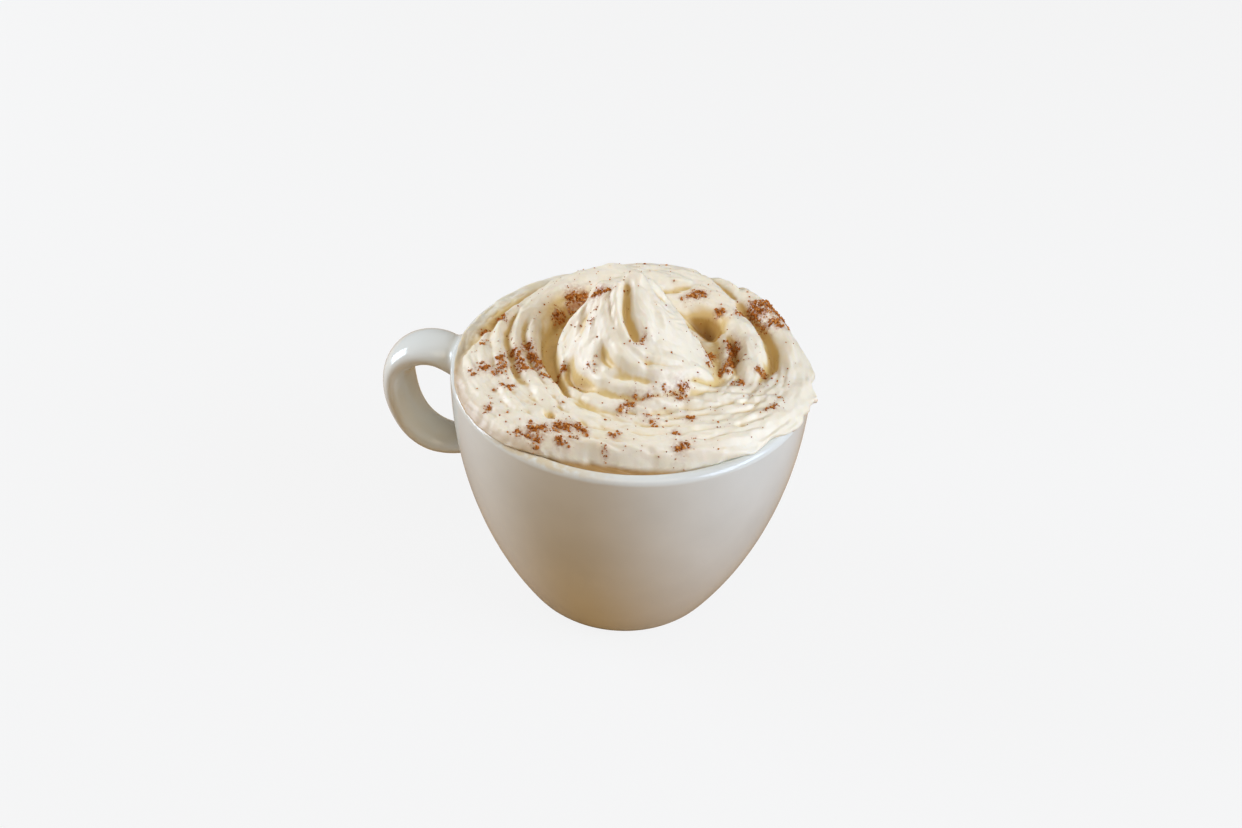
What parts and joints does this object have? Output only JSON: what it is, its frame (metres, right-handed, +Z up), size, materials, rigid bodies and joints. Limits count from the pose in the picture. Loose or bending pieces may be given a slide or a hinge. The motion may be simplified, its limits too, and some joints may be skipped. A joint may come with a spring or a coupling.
{
  "type": "vienna coffee",
  "caption": "White porcelain cup with a strap handle, full of coffee under a piped swirl of whipped cream dusted with cinnamon.",
  "frame": {"origin": "on the cup's axis, in the plane that the foot ring stands on", "axes": "+Z up the cup's axis, -X towards the handle"},
  "size_m": [0.1239, 0.1, 0.1038],
  "materials": {
    "porcelain": "glossy white glaze",
    "coffee": "dark liquid coffee with a thin tan foam at its edge",
    "cream": "soft whipped cream, satin",
    "cinnamon": "dry ground cinnamon"
  },
  "bodies": {
    "root": {"cup": "porcelain", "coffee": "coffee", "whipped_cream": "cream"}
  },
  "joints": []
}
